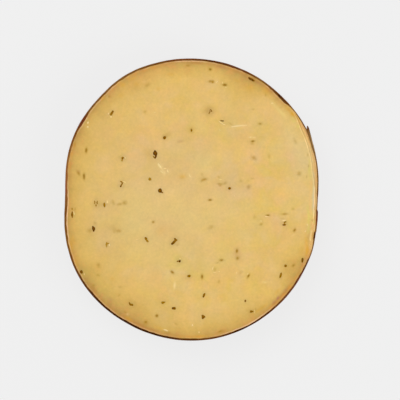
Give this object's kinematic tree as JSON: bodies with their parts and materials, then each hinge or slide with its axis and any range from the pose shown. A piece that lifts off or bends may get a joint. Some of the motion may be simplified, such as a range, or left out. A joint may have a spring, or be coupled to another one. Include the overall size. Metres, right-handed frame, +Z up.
{
  "type": "cheese slice",
  "caption": "Thick slab cut across a smoked cheese loaf, flat on both cut faces, with caraway seeds and a thin brown rind.",
  "frame": {"origin": "bottom centre of the slab's bounding box, in the plane of the lower cut face", "axes": "+Z up out of the upper cut face, +Y along the slab's long way, +X towards the worn margin with the torn rind tip"},
  "size_m": [0.0954, 0.1058, 0.018],
  "materials": {
    "cheese": "smooth knife-cut face, slightly waxy sheen",
    "rind": "thin smoked brown rind, satin",
    "seed": "dull ribbed caraway husk"
  },
  "bodies": {
    "root": {"cheese": "cheese"}
  },
  "joints": []
}
